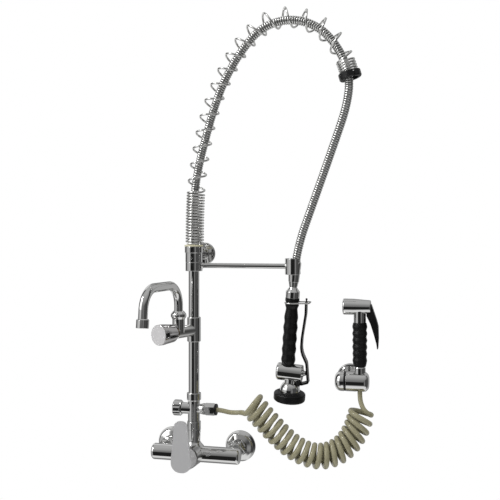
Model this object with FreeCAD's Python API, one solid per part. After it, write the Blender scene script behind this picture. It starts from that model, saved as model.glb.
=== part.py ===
"""Wall-mounted pre-rinse faucet with a second hand shower on a coil hose.

Row frame, in millimetres: the origin lies on the wall, midway between the two water inlets.
X runs along the wall to the right, Y into the wall, Z up. Everything but the inlet threads and
the wall screws is in front of the wall, at negative Y.
"""
import FreeCAD, Part
import math
import os

V = FreeCAD.Vector
RIGHT, INTO_WALL, UP = V(1, 0, 0), V(0, 1, 0), V(0, 0, 1)
LEFT, OUT, DOWN = V(-1, 0, 0), V(0, -1, 0), V(0, 0, -1)

# Wall side
INLET_SPACING = 150.0
INLET_THREAD_R = 10.48
ROSETTE_R = 32.5

# The vertical stack: mixer, tee, riser, spout tee, riser, arm ring, clamp collar, spring seat
RISER_X, RISER_Y = -4.0, -79.0
RISER_R, RISER_BORE_R = 11.0, 9.0
MIXER_TUBE_R = 16.3
MIXER_HALF_LENGTH = 93.0
NECK_TOP_Z = 50.0
TEE_BOTTOM_Z, TEE_COLLAR_Z, TEE_TOP_Z = 66.4, 109.0, 124.4
TEE_BRANCH_Z = 92.0
SPOUT_TEE_Z = (228.8, 278.6)
SPOUT_BRANCH_Z = 252.0
ARM_RING_Z = (372.6, 390.1)
CLAMP_Z = (390.5, 410.0, 422.4)
SEAT_Z = (422.7, 425.7)
RISER_TOP_Z = 438.0

# Cartridge and its lever, along an axis that rises a little towards the user
CARTRIDGE_RISE = 4.0
DRUM_R = 22.0
DRUM_END = 44.5
LIFT_PIVOT = 40.0
CAP_SPHERE_R = 20.0
PADDLE_LEAN = 6.0

# Spout valve and spout
VALVE_YAW = 23.5
VALVE_R = 12.0
SOCKET_ALONG = 47.0
VALVE_END, KNOB_START, KNOB_END = 56.0, 60.0, 105.0
KNOB_R = 20.0
SPOUT_R, SPOUT_BORE_R = 8.8, 7.4
SPOUT_YAW = 8.0
SPOUT_TOP_Z = 347.0
SPOUT_REACH = 140.5
SPOUT_BEND_R = 42.0
SPOUT_DROP_ANGLE = 84.0

# Guide arm and the hook that carries the spray gun
ARM_Z, ARM_R = 384.0, 5.0
HOLDER_X, HOLDER_R = 202.5, 17.5
HOLDER_Z = (367.5, 399.5)

# Wall bracket of the riser
ROD_Z, ROD_R = 406.4, 8.0
FLANGE_R, FLANGE_THICK = 23.5, 6.0
SCREW_R, SCREW_HEAD_R = 2.0, 4.0
SCREW_NECK_R = 1.7
SCREW_INTO_WALL = 20.0
FLANGE_SCREW_RING_R = 17.0

# Main hose: its route lies in the plane of the riser, and then goes down to the gun
HOSE_R = 8.6
HOSE_ROUTE = [
    (-4, 440.5), (-4, 492), (-1.5, 545), (9, 598), (23, 650), (39, 704.5), (60.5, 759.5), (93, 813.5),
    (136, 862), (196, 876.5), (253.5, 856.5), (292.5, 810.5), (314, 755), (307.5, 698), (285, 632),
    (246, 522.5),
]

# Spring: it hangs on the hose with a route of its own, and its turns open wide over the bow
SPRING_ROUTE = [
    (-2.5, 428), (-2, 480), (0.5, 545), (10.5, 612.5), (23, 672.5), (41.5, 729), (67, 782.5), (100, 833),
    (149, 875), (205, 880), (256, 858), (289.5, 820.5), (305.5, 784), (313.5, 757), (315.5, 747.5),
]
WIRE_R = 2.0
SPRING_MEAN_R, CROWN_SWELL, CROWN_Z = 17.0, 2.0, (780.0, 860.0)
SPRING_TURNS = [(18.25, 5.77), (11.16, 32.6), (5.73, 37.6), (6.0, 5.1)]
SPRING_START_TURN = -0.36
POINTS_PER_TURN = 12
END_RING_R, END_RING_LENGTH, END_RING_SLOT = 22.2, 13.5, 2.6

# Spray gun: its axis leans, and distances along it are counted down from the middle of the hook
GUN_AT = V(204.3, -79.0, 384.5)
GUN_LEAN_SIDE, GUN_LEAN_BACK = 4.8, 5.0
NUT_TOP_R, NUT_SHOULDER = 12.9, -5.5
NUT_LOW_R, NUT_LOW = 10.7, 31.0
VALVE_DOWN, VALVE_BODY_R = 215.3, 17.3
VALVE_BODY_X = (-21.8, 30.5)
HEAD_OFFSET, HEAD_NECK_R = 7.5, 12.0
DOME_R, DOME_DOWN, DOME_RIM_DOWN = 20.3, 252.1, 266.0
BUMPER_R = 31.9
PIVOT_X, PIVOT_DOWN = 24.8, 236.0
PLUNGER_DOWN, PLUNGER_R = 214.0, 5.0
RING_DOWN, RING_WIRE_R = 73.9, 1.4
RING_TILT = (-2.5, -5.9)

# Hand shower and its wall bracket
SHOWER_X, SHOWER_Y = 330.0, -50.0
BRACKET_Z, BRACKET_R = 155.5, 19.7
BRACKET_PLATE_X, BRACKET_PLATE_R = 307.0, 27.2
NECK_X, NECK_R = 311.0, 6.5
HOLDER_TILT = (-8.0, 30.0)
AXLE_R = 7.0
HEAD_AXIS_Z = 303.6
TRIGGER_PIVOT = V(348.5, -50.0, 284.5)

# Coil hose: two straight stretches and the round coil between them, as (x, y, z)
COIL_TUBE_R = 5.1
COIL_OUTER_R = 25.0
LEAD_IN_ROUTE = [(37, -79, 92), (57, -79, 92), (78, -79, 87), (97, -79, 90), (105, -78, 98)]
COIL_ROUTE = [
    (116, -78, 108), (133, -76, 90), (155, -73, 65), (176, -69, 41), (199, -66, 19), (226, -63, 5),
    (256, -60, 4), (284, -57, 14), (308, -54, 33), (324, -51, 59), (331, -50, 82), (332, -50, 100),
]
LEAD_OUT_ROUTE = [(330, -50, 150), (330, -50, 131), (333, -50, 112), (341, -50, 97)]


def unit(vector):
    """A copy of the vector, one millimetre long."""
    return V(vector).normalize()


def degrees(radians):
    return math.degrees(radians)


def outline(corners):
    """Closed wire in the XZ plane through corners (radius, height) or (radius, height, rounding)."""
    points = [V(c[0], 0, c[1]) for c in corners]
    starts, ends, edges = [], [], []
    for i, corner in enumerate(corners):
        here = points[i]
        back = unit(points[i - 1] - here)
        ahead = unit(points[(i + 1) % len(points)] - here)
        rounding = corner[2] if len(corner) > 2 else 0
        if not rounding:
            starts.append(here)
            ends.append(here)
            continue
        half = back.getAngle(ahead) / 2
        reach = rounding / math.tan(half)
        middle = here + unit(back + ahead) * (rounding / math.sin(half) - rounding)
        starts.append(here + back * reach)
        ends.append(here + ahead * reach)
        edges.append(Part.Arc(starts[-1], middle, ends[-1]).toShape())
    for i, start in enumerate(starts):
        if ends[i - 1].distanceToPoint(start) > 1e-6:
            edges.append(Part.LineSegment(ends[i - 1], start).toShape())
    return Part.Wire(Part.__sortEdges__(edges))


def turned(corners):
    """Solid of revolution about local Z."""
    return Part.Face(outline(corners)).revolve(V(0, 0, 0), UP, 360)


def plate(corners, width):
    """The outline in the XZ plane, made width thick, half on each side of that plane."""
    face = Part.Face(outline(corners))
    return face.translated(V(0, -width / 2, 0)).extrude(V(0, width, 0))


def rod(radius, start, end):
    """Round bar between two points."""
    span = end - start
    return Part.makeCylinder(radius, span.Length, start, span)


def hexagon(across_flats, height):
    """Hexagonal prism about local Z, with a flat at each side along Y and chamfered corners."""
    corner_r = across_flats / math.sqrt(3)
    points = [V(corner_r, 0, 0)]
    for i in range(1, 7):
        points.append(FreeCAD.Rotation(UP, 60 * i).multVec(points[0]))
    prism = Part.Face(Part.makePolygon(points)).extrude(V(0, 0, height))
    cut = corner_r - across_flats / 2
    limit = turned([
        (0, 0), (across_flats / 2, 0), (corner_r, cut), (corner_r, height - cut),
        (across_flats / 2, height), (0, height),
    ])
    return prism.common(limit)


def aim(shape, origin, axis, side=RIGHT):
    """Copy of a shape drawn about local Z, with Z laid along axis and X as near side as it can."""
    turn = FreeCAD.Rotation(side, axis.cross(side), axis, "ZXY")
    placed = shape.copy()
    placed.Placement = FreeCAD.Placement(origin, turn).multiply(shape.Placement)
    return placed


def on_riser(height):
    """Point of the riser's axis."""
    return V(RISER_X, RISER_Y, height)


def joined(*shapes):
    """One solid from touching or overlapping shapes."""
    return shapes[0].multiFuse(list(shapes[1:])).removeSplitter()


def rounded_route(points, bend_radius=None):
    """Straight runs joined by tangent arcs, as ("run", start, end) and ("bend", start, centre, axis,
    angle). Without a bend radius each arc takes 0.45 of its shorter run."""
    pieces = []
    here = points[0]
    for i in range(1, len(points) - 1):
        corner = points[i]
        back, ahead = points[i - 1] - corner, points[i + 1] - corner
        turn = math.pi - back.getAngle(ahead)
        if bend_radius is None:
            reach = 0.45 * min(back.Length, ahead.Length)
            radius = reach / math.tan(turn / 2)
        else:
            radius = bend_radius
            reach = radius * math.tan(turn / 2)
        start = corner + unit(back) * reach
        centre = corner + unit(unit(back) + unit(ahead)) * (radius / math.cos(turn / 2))
        pieces.append(("run", here, start))
        pieces.append(("bend", start, centre, unit(ahead.cross(back)), turn))
        here = corner + unit(ahead) * reach
    pieces.append(("run", here, points[-1]))
    return pieces


def route_length(pieces):
    total = 0.0
    for piece in pieces:
        if piece[0] == "run":
            total += (piece[2] - piece[1]).Length
        else:
            total += (piece[1] - piece[2]).Length * piece[4]
    return total


def station(pieces, along):
    """Point and direction at a distance along a rounded route; before its start it runs straight."""
    for number, piece in enumerate(pieces):
        last = number == len(pieces) - 1
        if piece[0] == "run":
            span = piece[2] - piece[1]
            if along <= span.Length or last:
                return piece[1] + unit(span) * along, unit(span)
            along -= span.Length
        else:
            arm = piece[1] - piece[2]
            if along <= arm.Length * piece[4]:
                turned_arm = FreeCAD.Rotation(piece[3], degrees(along / arm.Length)).multVec(arm)
                return piece[2] + turned_arm, unit(piece[3].cross(turned_arm))
            along -= arm.Length * piece[4]
    raise ValueError("the route has no pieces")


def swept(pieces, radius, closed=False):
    """Round solid along a rounded route, one cylinder or torus face for each of its pieces."""
    first = pieces[0]
    ring = Part.makeCircle(radius, first[1], first[2] - first[1])
    faces = [] if closed else [Part.Face(Part.Wire(ring))]
    for piece in pieces:
        if piece[0] == "run":
            step = piece[2] - piece[1]
            faces.append(ring.extrude(step))
            ring = ring.translated(step)
        else:
            angle = degrees(piece[4])
            faces.append(ring.revolve(piece[2], piece[3], angle))
            ring = ring.rotated(piece[2], piece[3], angle)
    if not closed:
        faces.append(Part.Face(Part.Wire(ring)))
    shell = Part.Compound(faces)
    shell.sewShape(1e-4)
    solid = Part.Solid(shell.Shells[0])
    if solid.Volume < 0:
        solid.reverse()
    return solid


def report_tube(name, pieces, radius, solid):
    """Print what a free tube measures: length, tightest bends, volume against section times length."""
    bends = [round((p[1] - p[2]).Length) for p in pieces if p[0] == "bend"]
    length = route_length(pieces)
    ratio = solid.Volume / (math.pi * radius**2 * length)
    print(f"{name}: length {length:.0f} mm, volume ratio {ratio:.4f}, bend radii {bends}")


# Wall side: rosettes, unions and union nuts

def inlet_positions():
    return [V(side * INLET_SPACING / 2, 0, 0) for side in (-1, 1)]


def wall_rosettes():
    cup = turned([
        (31.3, 0), (ROSETTE_R, 0), (ROSETTE_R, 2.5, 1.0), (28.0, 11.5, 9.0), (17.0, 16.0, 4.0),
        (13.4, 16.0), (13.4, 14.8), (16.6, 14.8, 3.0), (27.0, 10.8, 8.0), (31.3, 2.5, 0.8),
    ])
    return Part.Compound([aim(cup, place, OUT) for place in inlet_positions()])


def wall_unions():
    tube = turned([
        (7.5, -16), (INLET_THREAD_R, -16, 1.0), (INLET_THREAD_R, 2), (12.6, 2), (12.6, 26), (13.1, 26),
        (13.1, 39), (7.5, 39),
    ])
    spanner_flats = hexagon(26.0, 7.0).translated(V(0, 0, 17.5))
    spanner_flats = spanner_flats.cut(Part.makeCylinder(7.5, 30, V(0, 0, 10)))
    union = joined(tube, spanner_flats)
    return Part.Compound([aim(union, place, OUT) for place in inlet_positions()])


def union_nuts():
    nut = hexagon(31.0, 20.0).translated(V(0, 0, 29))
    nut = nut.cut(Part.makeCylinder(13.2, 14.2, V(0, 0, 29)))
    nut = nut.cut(Part.makeCylinder(11.2, 30, V(0, 0, 29)))
    return Part.Compound([aim(nut, place, OUT) for place in inlet_positions()])


# Mixer: one casting with the neck, its cartridge, cap and lever

def cartridge_axis():
    rise = math.radians(CARTRIDGE_RISE)
    return V(0, -math.cos(rise), math.sin(rise))


def on_cartridge(shape):
    """A shape drawn about local Z, laid on the cartridge axis."""
    return aim(shape, on_riser(0), cartridge_axis())


def mixer_body():
    length = MIXER_HALF_LENGTH
    tube = turned([
        (0, -length), (MIXER_TUBE_R, -length, 6.0), (MIXER_TUBE_R, length, 6.0), (0, length),
    ])
    body = aim(tube, V(0, RISER_Y, 0), RIGHT, UP)
    drum = turned([(0, -21.5), (DRUM_R, -21.5, 12.0), (DRUM_R, DRUM_END), (0, DRUM_END)])
    neck = turned([
        (0, 5.0), (19.5, 5.0), (21.5, 14.0, 3.0), (12.6, 25.0, 9.0), (13.8, NECK_TOP_Z),
        (10.0, NECK_TOP_Z), (10.0, 57.0), (0, 57.0),
    ])
    body = joined(body, on_cartridge(drum), aim(neck, on_riser(0), UP))
    for place in inlet_positions():
        tail = turned([(0, 39.0), (13.0, 39.0), (13.0, 42.8), (11.0, 42.8), (11.0, 70.0), (0, 70.0)])
        body = body.fuse(aim(tail, place, OUT))
    cavity = turned([(0, 8), (17.5, 8), (17.5, DRUM_END + 1), (0, DRUM_END + 1)])
    body = body.cut(on_cartridge(cavity))
    for place in inlet_positions():
        body = body.cut(rod(7.0, place + V(0, -38, 0), place + V(0, RISER_Y, 0)))
        inner = V(RISER_X + math.copysign(14.0, place.x), RISER_Y, 0)
        body = body.cut(rod(6.5, V(place.x, RISER_Y, 0), inner))
    return body.cut(rod(7.5, on_riser(10), on_riser(60))).removeSplitter()


def cartridge_housing():
    shell = turned([
        (13.5, 8.3), (17.3, 8.3, 1.0), (17.3, 30.0), (14.5, 34.0), (10.0, 34.0), (10.0, 31.0),
        (13.5, 31.0),
    ])
    return on_cartridge(shell)


def cartridge_cap():
    """Ball-shaped cap over the cartridge, its centre at the lever's lift pivot."""
    dome = Part.makeSphere(CAP_SPHERE_R, V(0, 0, LIFT_PIVOT))
    keep = Part.makeCylinder(CAP_SPHERE_R + 1, 30, V(0, 0, DRUM_END + 0.2))
    cap = dome.common(keep)
    cap = cap.fuse(Part.makeCylinder(17.2, 9.0, V(0, 0, DRUM_END - 8.5)))
    cap = cap.cut(Part.makeSphere(CAP_SPHERE_R - 3.5, V(0, 0, LIFT_PIVOT)))
    return on_cartridge(cap.cut(Part.makeCylinder(10.5, 60, V(0, 0, 10))))


def stem_carrier():
    """Ring inside the cartridge that turns with the lever, with the lift pin across its neck."""
    ring = turned([
        (7.6, 12), (13.1, 12, 0.8), (13.1, 28), (9.7, 28), (9.7, LIFT_PIVOT + 3), (7.6, LIFT_PIVOT + 3)])
    pin = rod(1.5, V(-8.5, 0, LIFT_PIVOT), V(8.5, 0, LIFT_PIVOT))
    return on_cartridge(joined(ring, pin))


def cartridge_stem():
    """Square stem that turns and tips on the lift pin, with a round foot in its carrier."""
    square = 8.0
    stem = Part.makeBox(square, square, 34.0, V(-square / 2, -square / 2, LIFT_PIVOT - 8.0))
    foot = Part.makeCylinder(4.0, 8.0, V(0, 0, LIFT_PIVOT - 14.0))
    stem = joined(stem, foot)
    return on_cartridge(stem.cut(rod(1.55, V(-10, 0, LIFT_PIVOT), V(10, 0, LIFT_PIVOT))))


def mixer_lever():
    """Hub over the ball cap and a flat paddle that stands up in front of it."""
    hub = turned([
        (0, 62.0), (0, 82.0), (20.5, 82.0), (21.0, 70.0, 3.0), (21.0, 50.0, 0.6), (15.0, 50.0),
        (15.0, 62.0),
    ])
    hub = hub.cut(Part.makeSphere(CAP_SPHERE_R + 0.6, V(0, 0, LIFT_PIVOT)))
    top, low, wide, narrow, thick = 80.0, -20.5, 20.5, 12.5, 5.0
    waist = 35.0
    paddle_corners = [
        (-wide, low, 19.0), (wide, low, 19.0), (wide, 3.0, 30.0), (16.5, waist, 40.0),
        (narrow, top, 11.5), (-narrow, top, 11.5), (-16.5, waist, 40.0), (-wide, 3.0, 30.0),
    ]
    paddle = plate(paddle_corners, thick)
    paddle = aim(paddle, V(0, 0, 84.0), V(0, math.cos(math.radians(PADDLE_LEAN)), math.sin(
        math.radians(PADDLE_LEAN))), RIGHT)
    lever = joined(hub, paddle)
    return on_cartridge(lever.cut(Part.makeBox(8.1, 8.1, 50.0, V(-4.05, -4.05, 25.0))))


def riser_union_nut():
    nut = turned([(10.15, 50.3), (14.1, 50.3, 0.8), (14.1, 66.2, 0.8), (10.15, 66.2)])
    return aim(nut, on_riser(0), UP)


# Lower tee: outlet to the coil hose on the right, its stop valve on the left

def tee_body():
    stack = turned([
        (0, 58.0), (9.9, 58.0), (9.9, TEE_BOTTOM_Z), (12.3, TEE_BOTTOM_Z, 0.6), (12.3, TEE_COLLAR_Z, 2.0),
        (14.6, TEE_COLLAR_Z + 1.5, 0.6), (14.6, TEE_TOP_Z, 1.2), (0, TEE_TOP_Z),
    ])
    outlet = turned([(0, 0), (9.6, 0), (9.6, 13.5, 6.0), (11.4, 20.0, 2.0), (11.4, 23.8), (0, 23.8)])
    stub = turned([(0, 0), (11.4, 0), (11.4, 24.5, 0.8), (0, 24.5)])
    crossing = on_riser(TEE_BRANCH_Z)
    body = joined(
        aim(stack, on_riser(0), UP), aim(outlet, crossing, RIGHT, UP), aim(stub, crossing, LEFT, UP))
    body = body.cut(rod(8.0, on_riser(57), on_riser(TEE_TOP_Z + 1)))
    body = body.cut(rod(RISER_R + 0.05, on_riser(108.0), on_riser(TEE_TOP_Z + 1)))
    body = body.cut(rod(5.0, crossing, crossing + V(25, 0, 0)))
    return body.cut(rod(4.05, crossing, crossing + V(-26, 0, 0)))


def tee_knob():
    """Fluted handle of the stop valve, with its spindle."""
    grip = turned([(0, 25.0), (13.5, 25.0, 1.0), (16.2, 28.0, 2.0), (16.2, 42.0, 2.5), (0, 43.5)])
    for i in range(8):
        centre = FreeCAD.Rotation(UP, 45.0 * i + 22.5).multVec(V(19.2, 0, 20))
        grip = grip.cut(Part.makeCylinder(4.6, 30, centre))
    knob = joined(grip, Part.makeCylinder(4.0, 16.0, V(0, 0, 10.0)))
    return aim(knob, on_riser(TEE_BRANCH_Z), LEFT, UP)


def hose_outlet_nut():
    nut = hexagon(22.0, 20.8).translated(V(0, 0, 24.0))
    nut = nut.cut(Part.makeCylinder(COIL_TUBE_R + 0.1, 40, V(0, 0, 20)))
    return aim(nut, on_riser(TEE_BRANCH_Z), RIGHT, UP)


def hose_outlet_seal():
    seal = turned([(5.2, 45.0), (11.6, 45.0, 0.8), (11.6, 48.6, 0.8), (5.2, 48.6)])
    return aim(seal, on_riser(TEE_BRANCH_Z), RIGHT, UP)


def riser_tube(low, high):
    tube = turned([(RISER_BORE_R, low), (RISER_R, low), (RISER_R, high), (RISER_BORE_R, high)])
    return aim(tube, on_riser(0), UP)


# Spout tee, valve and swinging spout

def valve_axis():
    yaw = math.radians(VALVE_YAW)
    return V(-math.sin(yaw), -math.cos(yaw), 0)


def on_valve(shape):
    return aim(shape, on_riser(SPOUT_BRANCH_Z), valve_axis(), UP)


def spout_foot(height):
    """Point of the spout's swivel axis."""
    foot = on_riser(0) + valve_axis() * SOCKET_ALONG
    return V(foot.x, foot.y, height)


def spout_tee_body():
    low, high = SPOUT_TEE_Z
    sleeve = turned([(0, low), (14.0, low, 1.6), (14.0, high, 1.6), (0, high)])
    barrel = turned([(0, 0), (VALVE_R, 0), (VALVE_R, VALVE_END, 1.2), (0, VALVE_END)])
    socket = turned([(0, 252), (12.6, 252), (12.6, 278.5), (11.2, 278.5), (11.2, 286.0), (0, 286.0)])
    body = joined(aim(sleeve, on_riser(0), UP), on_valve(barrel), aim(socket, spout_foot(0), UP))
    body = body.cut(rod(RISER_BORE_R, on_riser(low - 1), on_riser(high + 1)))
    body = body.cut(rod(RISER_R + 0.05, on_riser(low - 1), on_riser(232.2)))
    body = body.cut(rod(RISER_R + 0.05, on_riser(275.0), on_riser(high + 1)))
    body = body.cut(on_valve(Part.makeCylinder(7.5, VALVE_END + 1)))
    body = body.cut(on_valve(Part.makeCylinder(VALVE_R + 0.1, 20, V(0, 0, VALVE_END))))
    body = body.cut(rod(6.0, spout_foot(SPOUT_BRANCH_Z), spout_foot(262)))
    return body.cut(rod(SPOUT_R + 0.05, spout_foot(261.5), spout_foot(290)))


def spout_headwork():
    """Valve insert with the thread that the knob turns on."""
    insert = turned([
        (0, 30.0), (7.4, 30.0), (7.4, VALVE_END + 0.1), (10.0, VALVE_END + 0.1), (10.0, 70.0, 0.8),
        (0, 70.0),
    ])
    return on_valve(insert.cut(Part.makeCylinder(4.05, 30, V(0, 0, 50))))


def spout_knob():
    """Large knob: full round front disc, finger flutes behind it, and the spindle inside."""
    grip = turned([
        (10.5, KNOB_START), (13.0, KNOB_START, 1.0), (17.6, 67.0, 4.0), (19.6, 88.0, 20.0),
        (KNOB_R, 94.0, 1.0), (KNOB_R, KNOB_END - 0.5, 1.5), (19.0, KNOB_END, 0.5), (0, KNOB_END),
        (0, 71.0), (10.5, 71.0),
    ])
    for i in range(5):
        centre = FreeCAD.Rotation(UP, 72.0 * i + 118.0).multVec(V(25.5, 0, 50))
        grip = grip.cut(Part.makeCylinder(8.8, 42.5, centre))
    return on_valve(joined(grip, Part.makeCylinder(4.0, 30.0, V(0, 0, 52.0))))


def spout_swivel_nut():
    nut = turned([
        (11.3, 278.8), (13.0, 278.8, 0.5), (15.8, 284.0, 5.0), (15.4, 289.0, 5.0), (11.0, 294.6, 1.0),
        (9.0, 294.6), (9.0, 287.0), (11.3, 287.0),
    ])
    return aim(nut, spout_foot(0), UP)


def spout_direction():
    yaw = math.radians(SPOUT_YAW)
    return V(-math.sin(yaw), -math.cos(yaw), 0)


def spout_leg():
    """Corner above the spout's outlet, and the direction down its last leg."""
    corner = spout_foot(SPOUT_TOP_Z) + spout_direction() * SPOUT_REACH
    drop = math.radians(SPOUT_DROP_ANGLE)
    return corner, spout_direction() * math.cos(drop) - UP * math.sin(drop)


LEG_LENGTH = 54.0


def spout_tube():
    corner, down_leg = spout_leg()
    points = [spout_foot(262.0), spout_foot(SPOUT_TOP_Z), corner, corner + down_leg * LEG_LENGTH]
    pieces = rounded_route(points, SPOUT_BEND_R)
    return swept(pieces, SPOUT_R).cut(swept(pieces, SPOUT_BORE_R))


def aerator_housing():
    corner, down_leg = spout_leg()
    cup = turned([
        (SPOUT_BORE_R, 0), (10.2, 0, 0.6), (11.9, 1.8, 0.6), (11.9, 17.0, 0.8), (10.6, 17.0),
        (10.6, 3.5), (SPOUT_BORE_R, 3.5),
    ])
    return aim(cup, corner + down_leg * LEG_LENGTH, down_leg)


def aerator_insert():
    corner, down_leg = spout_leg()
    disc = turned([(0, 12.0), (10.5, 12.0), (10.5, 15.8), (0, 15.8)])
    for ring_r, count in ((3.2, 6), (6.2, 12), (8.8, 18)):
        for i in range(count):
            place = FreeCAD.Rotation(UP, 360.0 * i / count).multVec(V(ring_r, 0, 11))
            disc = disc.cut(Part.makeCylinder(0.7, 6, place))
    return aim(disc, corner + down_leg * LEG_LENGTH, down_leg)


# Upper end of the riser: guide arm, clamp collar with its wall rod, spring seat

def arm_ring():
    low, high = ARM_RING_Z
    ring = turned([
        (RISER_R + 0.1, low), (17.4, low, 1.0), (17.4, high, 0.6), (RISER_R + 0.1, high)])
    ring = aim(ring, on_riser(0), UP)
    boss = turned([(0, 12.0), (6.0, 12.0), (6.0, 18.5, 1.0), (5.4, 20.5, 0.4), (0, 20.5)])
    ring = joined(ring, aim(boss, on_riser(ARM_Z), RIGHT).cut(rod(12.5, on_riser(370), on_riser(392))))
    return ring.cut(rod(ARM_R, on_riser(ARM_Z) + V(13, 0, 0), on_riser(ARM_Z) + V(40, 0, 0)))


def holder_core(grow=0.0):
    return rod(HOLDER_R + grow, V(HOLDER_X, RISER_Y, HOLDER_Z[0]), V(HOLDER_X, RISER_Y, HOLDER_Z[1]))


def arm_rod():
    bar = rod(ARM_R, on_riser(ARM_Z) + V(13, 0, 0), V(HOLDER_X, RISER_Y, ARM_Z))
    return bar.cut(holder_core())


def hose_holder():
    """Upright sleeve, bored conical along the gun's axis and open on its far side for the hose."""
    low, high = HOLDER_Z
    sleeve = turned([(0, low), (HOLDER_R, low, 0.8), (HOLDER_R, high, 0.8), (0, high)])
    sleeve = aim(sleeve, V(HOLDER_X, RISER_Y, 0), UP)
    seat = [(0, -24.0), (NUT_TOP_R, -24.0), (NUT_TOP_R, NUT_SHOULDER), (NUT_LOW_R, NUT_LOW), (0, NUT_LOW)]
    grown = [(r + 0.3 if r else 0, down) for r, down in seat]
    sleeve = sleeve.cut(on_gun(gun_turned(grown)))
    mouth = math.radians(50)
    reach = 30.0
    wedge = Part.makePolygon([
        V(0, 0, 0), V(reach * math.cos(mouth), -reach * math.sin(mouth), 0), V(reach * 1.4, 0, 0),
        V(reach * math.cos(mouth), reach * math.sin(mouth), 0), V(0, 0, 0),
    ])
    gap = Part.Face(wedge).extrude(V(0, 0, high - low + 2)).translated(V(HOLDER_X, RISER_Y, low - 1))
    return sleeve.cut(gap)


def clamp_collar():
    low, step, high = CLAMP_Z
    bore = RISER_R + 0.05
    collar = turned([
        (bore, low), (17.6, low, 0.6), (17.6, step - 0.6, 0.4), (18.9, step, 0.4), (18.9, high, 0.8),
        (bore, high),
    ])
    collar = aim(collar, on_riser(0), UP)
    collar = collar.cut(rod(6.0, on_riser(ROD_Z), on_riser(ROD_Z) + V(0, 30, 0)))
    screw = on_riser(399.6)
    return collar.cut(rod(2.5, screw + V(0, -9, 0), screw + V(0, -30, 0)))


def clamp_grub_screw():
    screw = turned([(0, 11.2), (2.4, 11.2), (2.4, 17.3, 0.3), (0, 17.3)])
    screw = screw.cut(hexagon(2.5, 3.0).translated(V(0, 0, 15.0)))
    return aim(screw, on_riser(399.6), OUT)


def riser_top_nut():
    nut = turned([(RISER_R + 0.05, 431.0), (12.6, 431.0, 0.4), (12.6, 440.0, 0.6), (8.0, 440.0),
                  (8.0, 438.2), (RISER_R + 0.05, 438.2)])
    return aim(nut, on_riser(0), UP)


def wall_rod():
    end = -RISER_Y - 17.0
    shaft = turned([(0, 0.5), (6.0, 0.5), (6.0, FLANGE_THICK), (ROD_R, FLANGE_THICK), (ROD_R, end - 2),
                    (6.0, end), (6.0, end + 5.5), (0, end + 5.5)])
    saddle = rod(17.7, on_riser(CLAMP_Z[0]), on_riser(CLAMP_Z[1]))
    shaft = aim(shaft, V(RISER_X, 0, ROD_Z), OUT)
    tenon = rod(5.95, V(RISER_X, RISER_Y + 12.0, ROD_Z), V(RISER_X, -20, ROD_Z))
    return joined(shaft.cut(saddle).cut(rod(19.0, on_riser(CLAMP_Z[1] - 1), on_riser(CLAMP_Z[2]))), tenon)


def countersunk(plate_shape, axis_points, thick):
    """Countersunk holes from the front of a wall plate."""
    for place in axis_points:
        sink = turned([(0, -1), (SCREW_R + 0.25, -1), (SCREW_R + 0.25, thick - 2.6),
                       (SCREW_HEAD_R + 0.3, thick - 0.4), (SCREW_HEAD_R + 0.3, thick + 1), (0, thick + 1)])
        plate_shape = plate_shape.cut(aim(sink, place, OUT))
    return plate_shape


def flange_screw_places():
    centre = V(RISER_X, 0, ROD_Z)
    spread = V(FLANGE_SCREW_RING_R, 0, 0)
    return [centre + FreeCAD.Rotation(INTO_WALL, 120.0 * i).multVec(spread) for i in range(3)]


def bracket_screw_places():
    centre = V(BRACKET_PLATE_X, 0, BRACKET_Z)
    return [centre + V(0, 0, side * 19.0) for side in (-1, 1)]


def wall_flange():
    disc = turned([(6.05, 0), (FLANGE_R, 0), (FLANGE_R, FLANGE_THICK - 1, 2.5), (12.0, FLANGE_THICK, 1.0),
                   (11.0, 8.0, 0.8), (8.1, 8.0), (8.1, 5.9), (6.05, 5.9)])
    disc = aim(disc, V(RISER_X, 0, ROD_Z), OUT)
    return countersunk(disc, flange_screw_places(), FLANGE_THICK - 0.5)


def wall_screw(length, thick):
    """Countersunk screw: full width in the wall, a thinner neck through the plate, and a cross recess."""
    head = thick - 0.5
    screw = turned([(0, -length), (0.6, -length), (SCREW_R, 4 - length), (SCREW_R, 0), (SCREW_NECK_R, 0),
                    (SCREW_NECK_R, head - 2.5), (SCREW_HEAD_R, head, 0.2), (0, head)])
    for turn in (0, 90):
        slot = Part.makeBox(4.4, 0.9, 2.0, V(-2.2, -0.45, head - 1.4))
        screw = screw.cut(slot.rotated(V(0, 0, 0), UP, turn))
    return screw


def wall_screws():
    places = [(place, FLANGE_THICK - 0.5) for place in flange_screw_places()]
    places += [(place, FLANGE_THICK - 0.5) for place in bracket_screw_places()]
    return Part.Compound([
        aim(wall_screw(SCREW_INTO_WALL, thick), place, OUT) for place, thick in places])


# Spring, its seat and end ring, and the main hose inside it

def hose_points():
    points = [V(x, RISER_Y, z) for x, z in HOSE_ROUTE]
    points.append(down_the_gun(-28.0))
    points.append(down_the_gun(29.5))
    return points


def spring_route():
    return rounded_route([V(x, RISER_Y, z) for x, z in SPRING_ROUTE])


def spring_along(turn):
    """Distance along the spring's route after a number of turns."""
    along = SEAT_Z[1] + WIRE_R + 0.1 - SPRING_ROUTE[0][1]
    for turns, pitch in SPRING_TURNS:
        along += pitch * min(turn, turns)
        turn -= min(turn, turns)
    return along


def spring_seat():
    low, high = SEAT_Z
    ring = turned([(RISER_R + 0.1, low), (19.2, low, 0.8), (19.2, high, 0.8), (RISER_R + 0.1, high)])
    return aim(ring, on_riser(0), UP)


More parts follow.
